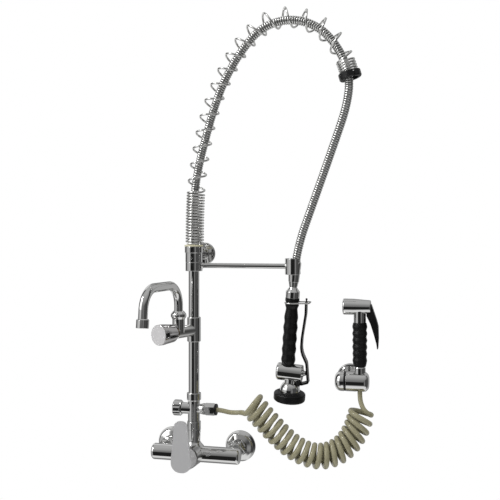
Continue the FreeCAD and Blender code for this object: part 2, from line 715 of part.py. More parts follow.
def spring():
    """Right-handed coil round the hose: close turns at both ends, open ones over the bow."""
    pieces = spring_route()
    turns = sum(count for count, pitch in SPRING_TURNS)
    points = []
    for i in range(round(turns * POINTS_PER_TURN) + 1):
        centre, direction = station(pieces, spring_along(i / POINTS_PER_TURN))
        crown = (centre.z - CROWN_Z[0]) / (CROWN_Z[1] - CROWN_Z[0])
        reach = SPRING_MEAN_R + CROWN_SWELL * min(max(crown, 0), 1)
        reach /= math.cos(math.pi / POINTS_PER_TURN)
        angle = 2 * math.pi * (i / POINTS_PER_TURN + SPRING_START_TURN)
        across = INTO_WALL.cross(direction)
        points.append(centre + across * (reach * math.cos(angle)) + INTO_WALL * (reach * math.sin(angle)))
    return swept(rounded_route(points), WIRE_R)


def end_ring_place():
    turns = sum(count for count, pitch in SPRING_TURNS)
    return station(spring_route(), spring_along(turns) - 5.8)


def spring_end_ring():
    """Thick slit ring that closes the spring; its last turn sits in a seat in the ring."""
    place, direction = end_ring_place()
    ring = turned([
        (14.5, 8.0), (14.5, END_RING_LENGTH), (20.6, END_RING_LENGTH, 1.0), (END_RING_R, 11.5, 1.0),
        (END_RING_R, 0, 1.0), (19.8, 0), (19.8, 8.0),
    ])
    slit = Part.makeBox(30, END_RING_SLOT, 20, V(0, -END_RING_SLOT / 2, -2)).rotated(V(0, 0, 0), UP, -117)
    return aim(ring.cut(slit), place, direction, LEFT)


def main_hose():
    pieces = rounded_route(hose_points())
    hose = swept(pieces, HOSE_R)
    report_tube("main_hose", pieces, HOSE_R, hose)
    return hose


# Spray gun, drawn upright about its own axis with heights counted down from the hook

def gun_down():
    side, back = math.radians(GUN_LEAN_SIDE), math.radians(GUN_LEAN_BACK)
    return V(-math.sin(side) * math.cos(back), math.sin(back), -math.cos(side) * math.cos(back))


def down_the_gun(distance):
    return GUN_AT + gun_down() * distance


def on_gun(shape):
    return aim(shape, GUN_AT, gun_down() * -1, RIGHT)


def gun_turned(corners):
    """Turned piece on the gun's axis; corners give (radius, distance down[, rounding])."""
    return turned([(c[0], -c[1], *c[2:]) for c in corners])


def hose_nut():
    """Conical nut that hangs in the hook, with the swivel spigot below it."""
    return on_gun(gun_turned([
        (HOSE_R + 0.15, -9.0), (11.2, -9.0, 0.6), (NUT_TOP_R, NUT_SHOULDER, 1.2), (NUT_LOW_R, NUT_LOW, 0.3),
        (10.0, 31.4, 0.2), (8.1, 41.8, 0.8), (4.5, 41.8), (4.5, 52.0), (3.0, 52.0), (3.0, 34.0),
        (HOSE_R + 0.15, 30.0),
    ]))


def gun_top_nut():
    return on_gun(gun_turned([
        (4.55, 42.1), (7.3, 42.1, 0.5), (10.3, 46.6), (14.0, 51.2, 1.5), (14.0, 63.7, 0.5),
        (10.2, 63.7), (10.2, 54.0), (4.55, 54.0),
    ]))


GRIP_BUMPS = (103.2, 123.8, 146.6, 168.0, 189.6)
GRIP_VALLEYS = (113.6, 135.0, 157.2, 178.8)


def gun_grip():
    """Moulded rubber handle with finger swells; its collar has the groove of the hold ring."""
    corners = [
        (10.0, 63.9), (14.2, 63.9, 1.0), (14.2, 70.6, 0.5), (12.9, 70.6), (12.9, 77.2), (14.0, 77.2, 0.4),
        (13.5, 79.5, 3.0), (11.4, 85.5, 8.0), (14.0, GRIP_BUMPS[0], 12.0),
    ]
    for valley, bump in zip(GRIP_VALLEYS, GRIP_BUMPS[1:]):
        corners += [(12.7, valley, 12.0), (14.65, bump, 12.0)]
    corners += [(12.4, 197.5, 3.0), (12.4, 200.5, 1.0), (10.0, 200.5)]
    grip = gun_turned(corners)
    valve = Part.makeCylinder(VALVE_BODY_R + 0.05, 80, V(-40, 0, -VALVE_DOWN), RIGHT)
    return on_gun(grip.cut(valve))


def hold_ring():
    """Wire loop round the collar and the tip of the lever, hanging a little askew."""
    half_width, far, corner_r = 14.6, 35.6, 5.0
    level = 0
    start = V(0, -half_width, level)
    side = V(far - corner_r, -half_width, level)
    end_low = V(far, -half_width + corner_r, level)
    end_high = V(far, half_width - corner_r, level)
    back = V(far - corner_r, half_width, level)
    return_point = V(0, half_width, level)
    quarter = math.pi / 2
    pieces = [
        ("run", start, side), ("bend", side, V(far - corner_r, -half_width + corner_r, level), UP, quarter),
        ("run", end_low, end_high),
        ("bend", end_high, V(far - corner_r, half_width - corner_r, level), UP, quarter),
        ("run", back, return_point), ("bend", return_point, V(0, 0, level), UP, math.pi),
    ]
    ring = swept(pieces, RING_WIRE_R, closed=True)
    askew = FreeCAD.Rotation(RIGHT, RING_TILT[0]).multiply(FreeCAD.Rotation(INTO_WALL, RING_TILT[1]))
    ring.Placement = FreeCAD.Placement(V(0, 0, -RING_DOWN), askew)
    return on_gun(ring)


def gun_valve_body():
    """Cross barrel with the handle tube above it and the outlet neck and lever lugs below it."""
    low, high = VALVE_BODY_X
    barrel = turned([(0, low), (VALVE_BODY_R, low, 5.0), (VALVE_BODY_R, high, 1.2), (0, high)])
    barrel = aim(barrel, V(0, 0, -VALVE_DOWN), RIGHT, UP)
    guide = turned([(0, high - 1), (7.6, high - 1), (7.6, high + 2.4, 0.8), (0, high + 2.4)])
    guide = aim(guide, V(0, 0, -PLUNGER_DOWN), RIGHT, UP)
    handle = gun_turned([(0, 63.9), (9.9, 63.9), (9.9, 206.0), (0, 206.0)])
    neck = Part.makeCylinder(HEAD_NECK_R, 14.0, V(HEAD_OFFSET, 0, -240.0))
    lug = Part.makeBox(7.0, 3.0, 13.5, V(PIVOT_X - 3.5, 9.0, -239.0))
    lugs = lug.fuse(lug.mirror(V(0, 0, 0), V(0, 1, 0)))
    body = joined(barrel, guide, handle, neck, lugs)
    body = body.cut(Part.makeCylinder(1.6, 40, V(PIVOT_X, -20, -PIVOT_DOWN), INTO_WALL))
    body = body.cut(Part.makeCylinder(7.4, 160.0, V(0, 0, -212.0)))
    body = body.cut(Part.makeCylinder(PLUNGER_R + 0.05, 40, V(2.0, 0, -PLUNGER_DOWN), RIGHT))
    return on_gun(body.cut(Part.makeCylinder(6.0, 30, V(HEAD_OFFSET, 0, -241.0))))


def gun_plunger():
    pin = turned([(0, 5.5), (PLUNGER_R, 5.5), (PLUNGER_R, 38.3, 3.6), (0, 38.3)])
    return on_gun(aim(pin, V(0, 0, -PLUNGER_DOWN), RIGHT, UP))


def gun_dome():
    """Bell that carries the spray plate, with the wide rubber ring round its rim."""
    low = DOME_RIM_DOWN
    bell = Part.makeSphere(DOME_R, V(0, 0, -DOME_DOWN))
    bell = bell.fuse(Part.makeCylinder(DOME_R, low - DOME_DOWN, V(0, 0, -low)))
    bell = bell.cut(Part.makeSphere(DOME_R - 2.2, V(0, 0, -DOME_DOWN)))
    bell = bell.cut(Part.makeCylinder(DOME_R - 2.2, 30.0, V(0, 0, -DOME_DOWN - 30.0)))
    bell = bell.cut(Part.makeCylinder(DOME_R + 5.0, 30.0, V(0, 0, -low - 30.0)))
    bell = bell.cut(Part.makeCylinder(HEAD_NECK_R + 0.05, 40.0, V(0, 0, -250.0)))
    return on_gun(bell.translated(V(HEAD_OFFSET, 0, 0)))


def gun_spray_plate():
    disc = gun_turned([(0, 263.5), (DOME_R - 2.3, 263.5), (DOME_R - 2.3, 267.0), (0, 267.0)])
    for ring_r, count in ((4.5, 6), (9.0, 12), (13.5, 18)):
        for i in range(count):
            place = FreeCAD.Rotation(UP, 360.0 * i / count).multVec(V(ring_r, 0, -268.0))
            disc = disc.cut(Part.makeCylinder(0.8, 6, place))
    return on_gun(disc.translated(V(HEAD_OFFSET, 0, 0)))


def gun_bumper():
    ring = gun_turned([
        (DOME_R + 0.05, 255.0), (24.5, 253.6, 1.5), (BUMPER_R, 257.5, 4.0), (BUMPER_R, 273.5, 5.0),
        (23.5, 273.5, 2.0), (DOME_R + 0.05, 268.0),
    ])
    return on_gun(ring.translated(V(HEAD_OFFSET, 0, 0)))


LEVER_WIDTH, LEVER_THICK = 17.0, 3.6
LEVER_TOP = V(28.3, 0, -64.0)
LEVER_LINE = [
    (28.3, 69.0, 0), (29.2, 93.0, 60.0), (25.0, 141.0, 80.0), (24.9, 168.5, 50.0), (37.6, 192.0, 18.0),
    (43.2, 230.8, 2.6), (31.5, 235.4, 5.0), (PIVOT_X, PIVOT_DOWN, 0),
]


def gun_lever():
    """Flat strip bent from the pivot under the valve up along the handle, with a beaded top."""
    line = [V(x, 0, -down) for x, down, _ in LEVER_LINE]
    outer, inner = [], []
    for i, point in enumerate(line):
        back = unit(point - line[i - 1]) if i else None
        ahead = unit(line[i + 1] - point) if i < len(line) - 1 else None
        along = unit((back or ahead) + (ahead or back))
        normal = V(along.z, 0, -along.x)
        slant = 1.0 if back is None or ahead is None else math.cos(back.getAngle(ahead) / 2)
        offset = normal * (LEVER_THICK / 2 / slant)
        rounding = LEVER_LINE[i][2]
        outer.append((point.x - offset.x, point.z - offset.z, rounding))
        inner.append((point.x + offset.x, point.z + offset.z, max(rounding - 1.3, 0)))
    strip = plate(outer + inner[::-1], LEVER_WIDTH)
    knuckle = Part.makeCylinder(2.7, LEVER_WIDTH, V(PIVOT_X, -LEVER_WIDTH / 2, -PIVOT_DOWN), INTO_WALL)
    tongue = rod(1.5, LEVER_TOP, LEVER_TOP - V(0, 0, 8.0))
    lever = joined(strip, knuckle, tongue, Part.makeSphere(2.2, LEVER_TOP))
    return on_gun(lever.cut(Part.makeCylinder(1.65, 40, V(PIVOT_X, -20, -PIVOT_DOWN), INTO_WALL)))


def gun_lever_pin():
    pin = rod(1.6, V(PIVOT_X, -12.0, -PIVOT_DOWN), V(PIVOT_X, 12.0, -PIVOT_DOWN))
    return on_gun(pin)


# Hand shower on its wall bracket

def on_shower(shape):
    return aim(shape, V(SHOWER_X, SHOWER_Y, 0), UP)


def shower_head_shape(grow=0.0):
    """Cross barrel of the hand shower along X, wider towards the spray face."""
    spray_end, back_end = -33.4, 21.5
    return aim(turned([
        (0, spray_end - grow), (15.9 + grow, spray_end - grow, 3.2), (15.7 + grow, -12.0, 30.0),
        (13.2 + grow, back_end, 1.5), (0, back_end),
    ]), V(0, 0, HEAD_AXIS_Z), RIGHT, UP)


def handset_head():
    """Cast body: barrel, neck and the core tube inside the grip, with the lug of the trigger."""
    barrel = shower_head_shape()
    neck = turned([(0, 185.5), (10.4, 185.5), (10.4, 272.2), (12.2, 272.2, 0.5), (12.2, 300.0), (0, 300.0)])
    pivot = TRIGGER_PIVOT - V(SHOWER_X, SHOWER_Y, 0)
    lug = Part.makeBox(7.0, 5.6, 11.0, V(15.0, -2.8, pivot.z - 3.5))
    pin = rod(1.5, pivot + V(0, -8.3, 0), pivot + V(0, 8.3, 0))
    body = joined(barrel, neck, lug, pin)
    hollow = turned([(0, -34.0), (13.2, -34.0), (13.2, -20.0), (9.0, -14.0), (9.0, 12.0), (0, 12.0)])
    body = body.cut(aim(hollow, V(0, 0, HEAD_AXIS_Z), RIGHT, UP))
    return on_shower(body.cut(Part.makeCylinder(7.0, 118.0, V(0, 0, 184.0))))


def handset_spray_face():
    disc = turned([(0, -33.0), (13.0, -33.0), (13.0, -28.5), (0, -28.5)])
    for ring_r, count in ((4.0, 6), (8.0, 12), (11.0, 18)):
        for i in range(count):
            place = FreeCAD.Rotation(UP, 360.0 * i / count).multVec(V(ring_r, 0, -34.0))
            disc = disc.cut(Part.makeCylinder(0.6, 6, place))
    return on_shower(aim(disc, V(0, 0, HEAD_AXIS_Z), RIGHT, UP))


RIB_PITCH, RIB_COUNT = 13.25, 6


def handset_grip():
    """Rubber sleeve with round ribs."""
    corners = [(10.5, 185.6), (11.9, 185.6, 0.6), (13.2, 191.0, 3.0)]
    for i in range(RIB_COUNT):
        rib = 197.6 + RIB_PITCH * i
        swell = 14.5 if i < 2 else 14.9
        corners += [(swell, rib, 3.4), (13.0, rib + RIB_PITCH / 2, 3.4)]
    corners[-1] = (13.2, 271.9, 0.8)
    corners.append((10.5, 271.9))
    return on_shower(turned(corners))


def handset_collar():
    """Chrome hose nut that drops into the bracket, with its hose tail below."""
    return on_shower(turned([
        (5.3, 150.5), (8.8, 150.5, 0.5), (8.8, 163.5), (10.2, 163.5), (11.5, 165.5, 0.8), (11.5, 183.0, 1.2),
        (10.2, 185.3), (6.9, 185.3), (6.9, 160.0), (5.3, 158.0),
    ]))


def handset_trigger():
    """Moulded trigger, forked round the lug under the barrel; its upper tip lies behind the barrel."""
    corners = [
        (22.0, 309.0, 0.3), (22.9, 309.0, 0.5), (33.2, 278.5, 40.0), (36.5, 266.0, 18.0), (37.2, 242.0, 30.0),
        (35.9, 221.3, 0.7), (34.2, 221.8, 0.7), (33.0, 231.0, 30.0), (27.6, 251.0, 60.0),
        (21.4, 270.5, 30.0), (13.6, 286.5, 0.8), (14.0, 295.0), (22.0, 295.0),
    ]
    trigger = plate(corners, 17.0)
    pivot = TRIGGER_PIVOT - V(SHOWER_X, SHOWER_Y, 0)
    lug_room = Part.makeBox(14.0, 6.4, 20.0, V(10.5, -3.2, pivot.z - 6.0))
    trigger = trigger.cut(lug_room).cut(rod(1.55, pivot + V(0, -12, 0), pivot + V(0, 12, 0)))
    trigger = trigger.cut(shower_head_shape(1.2)).cut(Part.makeCylinder(13.4, 40, V(0, 0, 262)))
    return on_shower(trigger.cut(Part.makeCylinder(14.0, 4.0, V(18.0, 0, HEAD_AXIS_Z), RIGHT)))


def bracket_plate():
    disc = turned([(5.0, 0), (BRACKET_PLATE_R, 0), (BRACKET_PLATE_R, 5.0, 2.6), (9.0, 6.0, 1.0), (5.0, 6.0)])
    disc = aim(disc, V(BRACKET_PLATE_X, 0, BRACKET_Z), OUT)
    disc = disc.cut(rod(NECK_R, V(NECK_X, 1, BRACKET_Z), V(NECK_X, -10, BRACKET_Z)))
    return countersunk(disc, bracket_screw_places(), FLANGE_THICK - 0.5)


def bracket_axle():
    """Neck from the plate to the swivel axle, in one bent piece."""
    neck = rod(NECK_R, V(NECK_X, -0.3, BRACKET_Z), V(NECK_X, SHOWER_Y, BRACKET_Z))
    axle = rod(AXLE_R, V(285.0, SHOWER_Y, BRACKET_Z), V(319.0, SHOWER_Y, BRACKET_Z))
    return joined(neck, axle)


def bracket_turned(corners):
    """Turned piece on the swivel axis; corners give (radius, x[, rounding])."""
    return aim(turned(corners), V(0, SHOWER_Y, BRACKET_Z), RIGHT, UP)


def bracket_end_cap():
    return bracket_turned([
        (0, 280.9), (BRACKET_R, 280.9, 13.0), (BRACKET_R, 299.4, 0.5), (AXLE_R + 0.05, 299.4),
        (AXLE_R + 0.05, 284.8), (0, 284.8),
    ])


def friction_ring():
    return bracket_turned([
        (AXLE_R + 0.05, 299.5), (19.2, 299.5), (19.2, 303.3), (AXLE_R + 0.05, 303.3)])


def bracket_holder():
    """Barrel that swivels on the axle and takes the hand shower in its upright hole."""
    barrel = bracket_turned([
        (0, 303.6), (BRACKET_R, 303.6, 0.5), (BRACKET_R, 348.2, 11.0), (0, 348.2)])
    axis = V(0, SHOWER_Y, BRACKET_Z)
    barrel = barrel.cut(rod(AXLE_R + 0.1, axis + V(300, 0, 0), axis + V(319.5, 0, 0)))
    hole = turned([(0, 130), (9.4, 130), (9.4, 163.5), (11.8, 163.5), (11.8, 180), (0, 180)])
    barrel = barrel.cut(on_shower(hole))
    low, high = HOLDER_TILT
    room = NECK_R + 0.3
    for tilt in (low, (low + high) / 2, high):
        slot = Part.makeBox(15.0, 30.0, 2 * room, V(303.0, 0, -room))
        barrel = barrel.cut(slot.rotated(V(0, 0, 0), RIGHT, -tilt).translated(axis))
    return barrel


# Coil hose

def coil_piece(name, route, radius):
    pieces = rounded_route([V(*point) for point in route])
    tube = swept(pieces, radius)
    report_tube(name, pieces, radius, tube)
    return tube


def coil_hose_lead_in():
    return coil_piece("coil_hose_lead_in", LEAD_IN_ROUTE, COIL_TUBE_R)


def coil_hose():
    return coil_piece("coil_hose", COIL_ROUTE, COIL_OUTER_R)


def coil_hose_lead_out():
    return coil_piece("coil_hose_lead_out", LEAD_OUT_ROUTE, COIL_TUBE_R)


def riser_lower():
    return riser_tube(108.2, 232.0)


def riser_upper():
    return riser_tube(275.2, RISER_TOP_Z)


PIECES = [
    wall_rosettes, wall_unions, union_nuts, mixer_body, cartridge_housing, cartridge_cap, stem_carrier,
    cartridge_stem, mixer_lever, riser_union_nut, tee_body, tee_knob, hose_outlet_nut, hose_outlet_seal,
    riser_lower, spout_tee_body, spout_headwork, spout_knob, spout_swivel_nut, spout_tube,
    aerator_housing, aerator_insert, riser_upper, arm_ring, arm_rod, hose_holder, clamp_collar,
    clamp_grub_screw, riser_top_nut, wall_rod, wall_flange, wall_screws, spring_seat, spring,
    spring_end_ring, main_hose, hose_nut, gun_top_nut, gun_grip, hold_ring, gun_valve_body, gun_plunger,
    gun_dome, gun_spray_plate, gun_bumper, gun_lever, gun_lever_pin, handset_head, handset_spray_face,
    handset_grip, handset_collar, handset_trigger, bracket_plate, bracket_axle, bracket_end_cap,
    friction_ring, bracket_holder, coil_hose_lead_in, coil_hose, coil_hose_lead_out,
]

os.makedirs("parts", exist_ok=True)
for piece in PIECES:
    shape = piece()
    if not shape.isValid() or not shape.Solids:
        print("not a valid solid:", piece.__name__)
    shape.exportStep(f"parts/{piece.__name__}.step")
print(len(PIECES), "pieces")
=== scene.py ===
import math
import bmesh
import bpy
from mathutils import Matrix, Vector


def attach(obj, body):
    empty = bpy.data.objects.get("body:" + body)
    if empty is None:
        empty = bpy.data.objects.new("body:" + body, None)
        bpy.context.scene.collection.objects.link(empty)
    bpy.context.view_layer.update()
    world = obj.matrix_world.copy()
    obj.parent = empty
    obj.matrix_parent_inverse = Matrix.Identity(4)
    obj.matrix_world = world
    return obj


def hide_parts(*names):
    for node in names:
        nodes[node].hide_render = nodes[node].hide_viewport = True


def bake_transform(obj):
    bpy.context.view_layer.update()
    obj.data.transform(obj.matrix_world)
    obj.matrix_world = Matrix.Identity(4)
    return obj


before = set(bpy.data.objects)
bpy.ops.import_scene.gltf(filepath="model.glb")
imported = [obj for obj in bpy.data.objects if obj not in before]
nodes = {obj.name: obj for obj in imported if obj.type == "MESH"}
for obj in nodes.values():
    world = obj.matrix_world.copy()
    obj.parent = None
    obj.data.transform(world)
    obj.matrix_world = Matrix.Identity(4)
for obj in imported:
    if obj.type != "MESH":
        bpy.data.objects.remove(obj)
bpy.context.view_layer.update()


# Camera on its stand, 1.6 m in front of the wall and level with the middle of the faucet.
# It is turned 13 degrees to the left, so that the right ends of the pieces show.
camera_height = 0.4439
camera_turn = 12.963
camera_data = bpy.data.cameras.new("camera")
camera_data.sensor_width = 36.0
camera_data.lens = 55.44
camera_data.shift_y = -0.028
camera_data.clip_end = 50.0
camera = bpy.data.objects.new("camera", camera_data)
camera.location = (0.4602, -1.5852, camera_height)
camera.rotation_euler = (math.radians(90), 0, math.radians(camera_turn))
bpy.context.scene.collection.objects.link(camera)
bpy.context.scene.camera = camera
bpy.context.scene.view_settings.view_transform = "Standard"


# Studio round the faucet. The camera sees plain white and matt surfaces get a soft even light, while
# the metal mirrors a room of pale panels and dark gaps, which draw its long light and dark bands.

def add(tree, kind, settings=None, **inputs):
    """A node with its settings and inputs; an input is a constant or another node's output."""
    node = tree.nodes.new(kind)
    for name, value in (settings or {}).items():
        setattr(node, name, value)
    for name, value in inputs.items():
        numbered = name[0] == "i" and name[1:].isdigit()
        socket = node.inputs[int(name[1:]) if numbered else name.replace("_", " ")]
        if isinstance(value, bpy.types.NodeSocket):
            tree.links.new(value, socket)
        else:
            socket.default_value = value
    return node


def hex_colour(text):
    """Linear colour of an sRGB hex code, fully opaque."""
    parts = [int(text[i:i + 2], 16) / 255 for i in (0, 2, 4)]
    linear = [c / 12.92 if c <= 0.04045 else ((c + 0.055) / 1.055) ** 2.4 for c in parts]
    return (*linear, 1.0)


world = bpy.data.worlds.new("studio")
bpy.context.scene.world = world
world.use_nodes = True
room = world.node_tree
room.nodes.clear()
split = add(room, "ShaderNodeSeparateXYZ", Vector=add(room, "ShaderNodeTexCoord").outputs["Generated"])
front = add(room, "ShaderNodeMath", {"operation": "MULTIPLY"}, i0=split.outputs["Y"], i1=-1.0).outputs[0]
bearing = add(room, "ShaderNodeMath", {"operation": "ARCTAN2"}, i0=split.outputs["X"], i1=front).outputs[0]
rise = add(room, "ShaderNodeMath", {"operation": "ARCSINE"}, i0=split.outputs["Z"]).outputs[0]


def edge_at(angle, degrees_at, soft):
    """0 below the given angle and 1 above it, with an edge as soft as the given degrees either way."""
    return add(room, "ShaderNodeMapRange", {"interpolation_type": "SMOOTHSTEP"}, Value=angle,
               From_Min=math.radians(degrees_at - soft), From_Max=math.radians(degrees_at + soft)).outputs[0]


def hang_panel(shade, bearings, rises, brightness, soft):
    """Lay a soft-edged panel of one brightness over what the room shows so far."""
    mask = 1.0
    for angle, (low, high) in ((bearing, bearings), (rise, rises)):
        below = add(room, "ShaderNodeMath", {"operation": "SUBTRACT"}, i0=1.0, i1=edge_at(angle, high, soft))
        for inside in (edge_at(angle, low, soft), below.outputs[0]):
            mask = add(room, "ShaderNodeMath", {"operation": "MULTIPLY"}, i0=mask, i1=inside).outputs[0]
    return add(room, "ShaderNodeMix", {"data_type": "FLOAT"}, i0=mask, i2=shade, i3=brightness).outputs[0]


# Bearings run from straight out of the wall, positive to the right, and rises from level, in degrees;
# then come the brightness and the softness of the edge. A later panel covers the ones before it.
horizon_shade, ceiling_shade, ceiling_rise = 0.19, 0.5, 75
panels = (
    ((-400, 400), (-100, -44), 0.85, 7),  # pale floor
    ((-400, -95), (-75, 5), 0.22, 8),  # dim corner behind, on the left
    ((-155, -122), (-45, 60), 0.75, 5),  # pale panel behind, on the left
    ((-118, -98), (-45, 60), 0.03, 4),  # dark gap beside it
    ((20, 120), (-40, 24), 0.075, 7),  # dim right side
    ((30, 38), (-40, 30), 0.36, 3),  # strip of light in the right side
    ((100, 114), (-60, 50), 0.03, 4),  # dark gap at its far end
    ((-84, -24), (-36, 40), 0.5, 5),  # tall softbox on the left
    ((-54, -44), (-36, 40), 0.65, 3),  # its brighter middle
    ((-80, -30), (6, 46), 1.6, 4),  # its bright upper half
    ((-28, 18), (-37, 3), 0.016, 4),  # dark opening for the camera
    ((-30, -12), (-54, 3), 0.016, 2),  # lower left corner of the opening
    ((128, 165), (-50, 50), 0.45, 6),  # pale panel behind, on the right
    ((-64, -50), (36, 50), 18.0, 2),  # small lamp high on the left, for the glints
)
shade = add(room, "ShaderNodeMapRange", {"interpolation_type": "SMOOTHSTEP"}, Value=rise, From_Min=0.0,
            From_Max=math.radians(ceiling_rise), To_Min=horizon_shade, To_Max=ceiling_shade).outputs[0]
for panel in panels:
    shade = hang_panel(shade, *panel)
mirrored = add(room, "ShaderNodeBackground", Color=hex_colour("ffffff"), Strength=shade)
soft_light = add(room, "ShaderNodeBackground", Color=hex_colour("fbfdff"), Strength=0.75)
backdrop = add(room, "ShaderNodeBackground", Color=hex_colour("ffffff"), Strength=1.0)
ray = add(room, "ShaderNodeLightPath")
lit = add(room, "ShaderNodeMixShader", i0=ray.outputs["Is Glossy Ray"], i1=soft_light.outputs[0],
          i2=mirrored.outputs[0])
seen = add(room, "ShaderNodeMixShader", i0=ray.outputs["Is Camera Ray"], i1=lit.outputs[0],
           i2=backdrop.outputs[0])
add(room, "ShaderNodeOutputWorld", Surface=seen.outputs[0])


# Two lamps with cloth fronts, a tall one from the left and a wide one from above. They give the rubber and
# plastic pieces their shape, and leave no mark in the metal, which only mirrors the panels.

def softbox(name, place, aim_at, width, depth, watts):
    light = bpy.data.lights.new(name, "AREA")
    light.shape = "RECTANGLE"
    light.size, light.size_y = width, depth
    light.energy = watts
    lamp = bpy.data.objects.new(name, light)
    lamp.location = place
    lamp.rotation_euler = (Vector(aim_at) - Vector(place)).to_track_quat("-Z", "Y").to_euler()
    lamp.visible_glossy = False
    bpy.context.scene.collection.objects.link(lamp)


softbox("key_left", (-1.7, -1.3, 1.3), (0.1, -0.08, 0.45), width=0.9, depth=1.8, watts=26)
softbox("top", (0.3, -0.8, 2.3), (0.1, -0.08, 0.4), width=1.4, depth=1.0, watts=16)


# Floor: a plain sheet of white paper, well below the faucet. The camera sees it as pure white, so that it
# meets the white behind without a line.

def new_material(name):
    """A named material with its nodes and its main shader."""
    material = bpy.data.materials.new(name)
    material.use_nodes = True
    return material, material.node_tree, material.node_tree.nodes["Principled BSDF"]


floor_level, floor_reach = -0.4, 6
floor_mesh = bpy.data.meshes.new("floor")
corners = [(x * floor_reach, y * floor_reach, floor_level) for x, y in ((-1, -1), (1, -1), (1, 1), (-1, 1))]
floor_mesh.from_pydata(corners, [], [(0, 1, 2, 3)])
floor = bpy.data.objects.new("floor", floor_mesh)
bpy.context.scene.collection.objects.link(floor)
paper, tree, shader = new_material("white_paper_floor")
shader.inputs["Base Color"].default_value = hex_colour("e7e7e7")
shader.inputs["Roughness"].default_value = 0.9
glow = add(tree, "ShaderNodeEmission", Color=hex_colour("ffffff"), Strength=1.0)
to_camera = add(tree, "ShaderNodeLightPath").outputs["Is Camera Ray"]
mix = add(tree, "ShaderNodeMixShader", i0=to_camera, i1=shader.outputs[0], i2=glow.outputs[0])
tree.links.new(mix.outputs[0], tree.nodes["Material Output"].inputs["Surface"])
floor_mesh.materials.append(paper)
floor.visible_glossy = False


# Rosettes, unions and union nuts: the two spun brass rosettes hide the holes in the wall, and the unions
# carry the mixer on the two water inlets. All are polished and chromium-plated, and screwed on.
MM = 0.001


def scale_of(size_mm):
    """Scale of a pattern whose marks have that real size, in millimetres."""
    return 1 / (size_mm * MM)


def paint(material, *names):
    """Give CAD nodes this material in place of their packed one."""
    for name in names:
        mesh = nodes[name].data
        mesh.materials.clear()
        mesh.materials.append(material)


# Chromium plate on polished brass. To the eye it is a mirror, a little grey, with faint wiping marks
# and the slight waviness that hand polishing leaves.
wiping_mark_mm, polishing_wave_mm = 18.18, 35.7
chrome, tree, shader = new_material("polished_chromium_plate")
shader.inputs["Metallic"].default_value = 1.0
shader.inputs["Base Color"].default_value = hex_colour("e0e0df")
place = add(tree, "ShaderNodeTexCoord").outputs["Object"]
smudge = add(tree, "ShaderNodeTexNoise", Vector=place, Scale=scale_of(wiping_mark_mm), Detail=4.0)
rough = add(tree, "ShaderNodeMapRange", Value=smudge.outputs["Fac"], From_Min=0.35, From_Max=0.75,
            To_Min=0.035, To_Max=0.085)
tree.links.new(rough.outputs[0], shader.inputs["Roughness"])
wave = add(tree, "ShaderNodeTexNoise", Vector=place, Scale=scale_of(polishing_wave_mm), Detail=1.0)
bump = add(tree, "ShaderNodeBump", Height=wave.outputs["Fac"], Strength=0.02, Distance=0.002)
tree.links.new(bump.outputs[0], shader.inputs["Normal"])
paint(chrome, "wall_rosettes", "wall_unions", "union_nuts")


# Mixer body: one hollow brass casting with its tube, drum and neck, polished and plated. Its cartridge of
# white plastic, with a square brass stem, is held down inside the drum by the ball-shaped cap.

def even_finish(name, dark, light, smoothest, roughest, metallic=0.0):
    """One colour, clouded between two close tones, with a gloss that follows the clouds."""
    cloud_mm = 11.1
    material, tree, shader = new_material(name)
    place = add(tree, "ShaderNodeTexCoord").outputs["Object"]
    tone = add(tree, "ShaderNodeTexNoise", Vector=place, Scale=scale_of(cloud_mm), Detail=3.0)
    colour = add(tree, "ShaderNodeMix", {"data_type": "RGBA"}, i0=tone.outputs["Fac"],
                 i6=hex_colour(dark), i7=hex_colour(light))
    tree.links.new(colour.outputs[2], shader.inputs["Base Color"])
    rough = add(tree, "ShaderNodeMapRange", Value=tone.outputs["Fac"], To_Min=smoothest, To_Max=roughest)
    tree.links.new(rough.outputs[0], shader.inputs["Roughness"])
    shader.inputs["Metallic"].default_value = metallic
    return material


# Acetal as it comes from the mould: chalky white with a dull sheen.
white_plastic = even_finish("moulded_white_plastic", "dcdcd8", "e6e6e2", 0.35, 0.5)
# Brass straight from the lathe: warm yellow and fairly bright.
brass = even_finish("bare_turned_brass", "b08a4a", "bd9858", 0.2, 0.3, metallic=1.0)
paint(chrome, "mixer_body", "cartridge_cap")
paint(white_plastic, "cartridge_housing", "stem_carrier")
paint(brass, "cartridge_stem")


# Mixer lever: a die-cast paddle that sits on the cartridge stem and is held there by a hidden screw.
# It is blasted before plating, so that fingerprints don't show.

# Satin silver plating: flat pale grey with hardly a reflection. The blasted grain is drawn coarser than
# the real 0.1 mm, so that it just shows.
satin_grain_mm = 0.385
satin, tree, shader = new_material("satin_silver_plating")
shader.inputs["Metallic"].default_value = 0.45
shader.inputs["Base Color"].default_value = hex_colour("c9c8c8")
shader.inputs["Roughness"].default_value = 0.42
place = add(tree, "ShaderNodeTexCoord").outputs["Object"]
grain = add(tree, "ShaderNodeTexNoise", Vector=place, Scale=scale_of(satin_grain_mm), Detail=2.0)
bump = add(tree, "ShaderNodeBump", Height=grain.outputs["Fac"], Strength=0.06, Distance=0.0002)
tree.links.new(bump.outputs[0], shader.inputs["Normal"])
paint(satin, "mixer_lever")


# Stop-valve tee: a plated brass casting on the mixer's neck, held by a union nut. A fluted knob shuts its
# branch, and on the other side a nut with a black seal ring holds the coil hose.

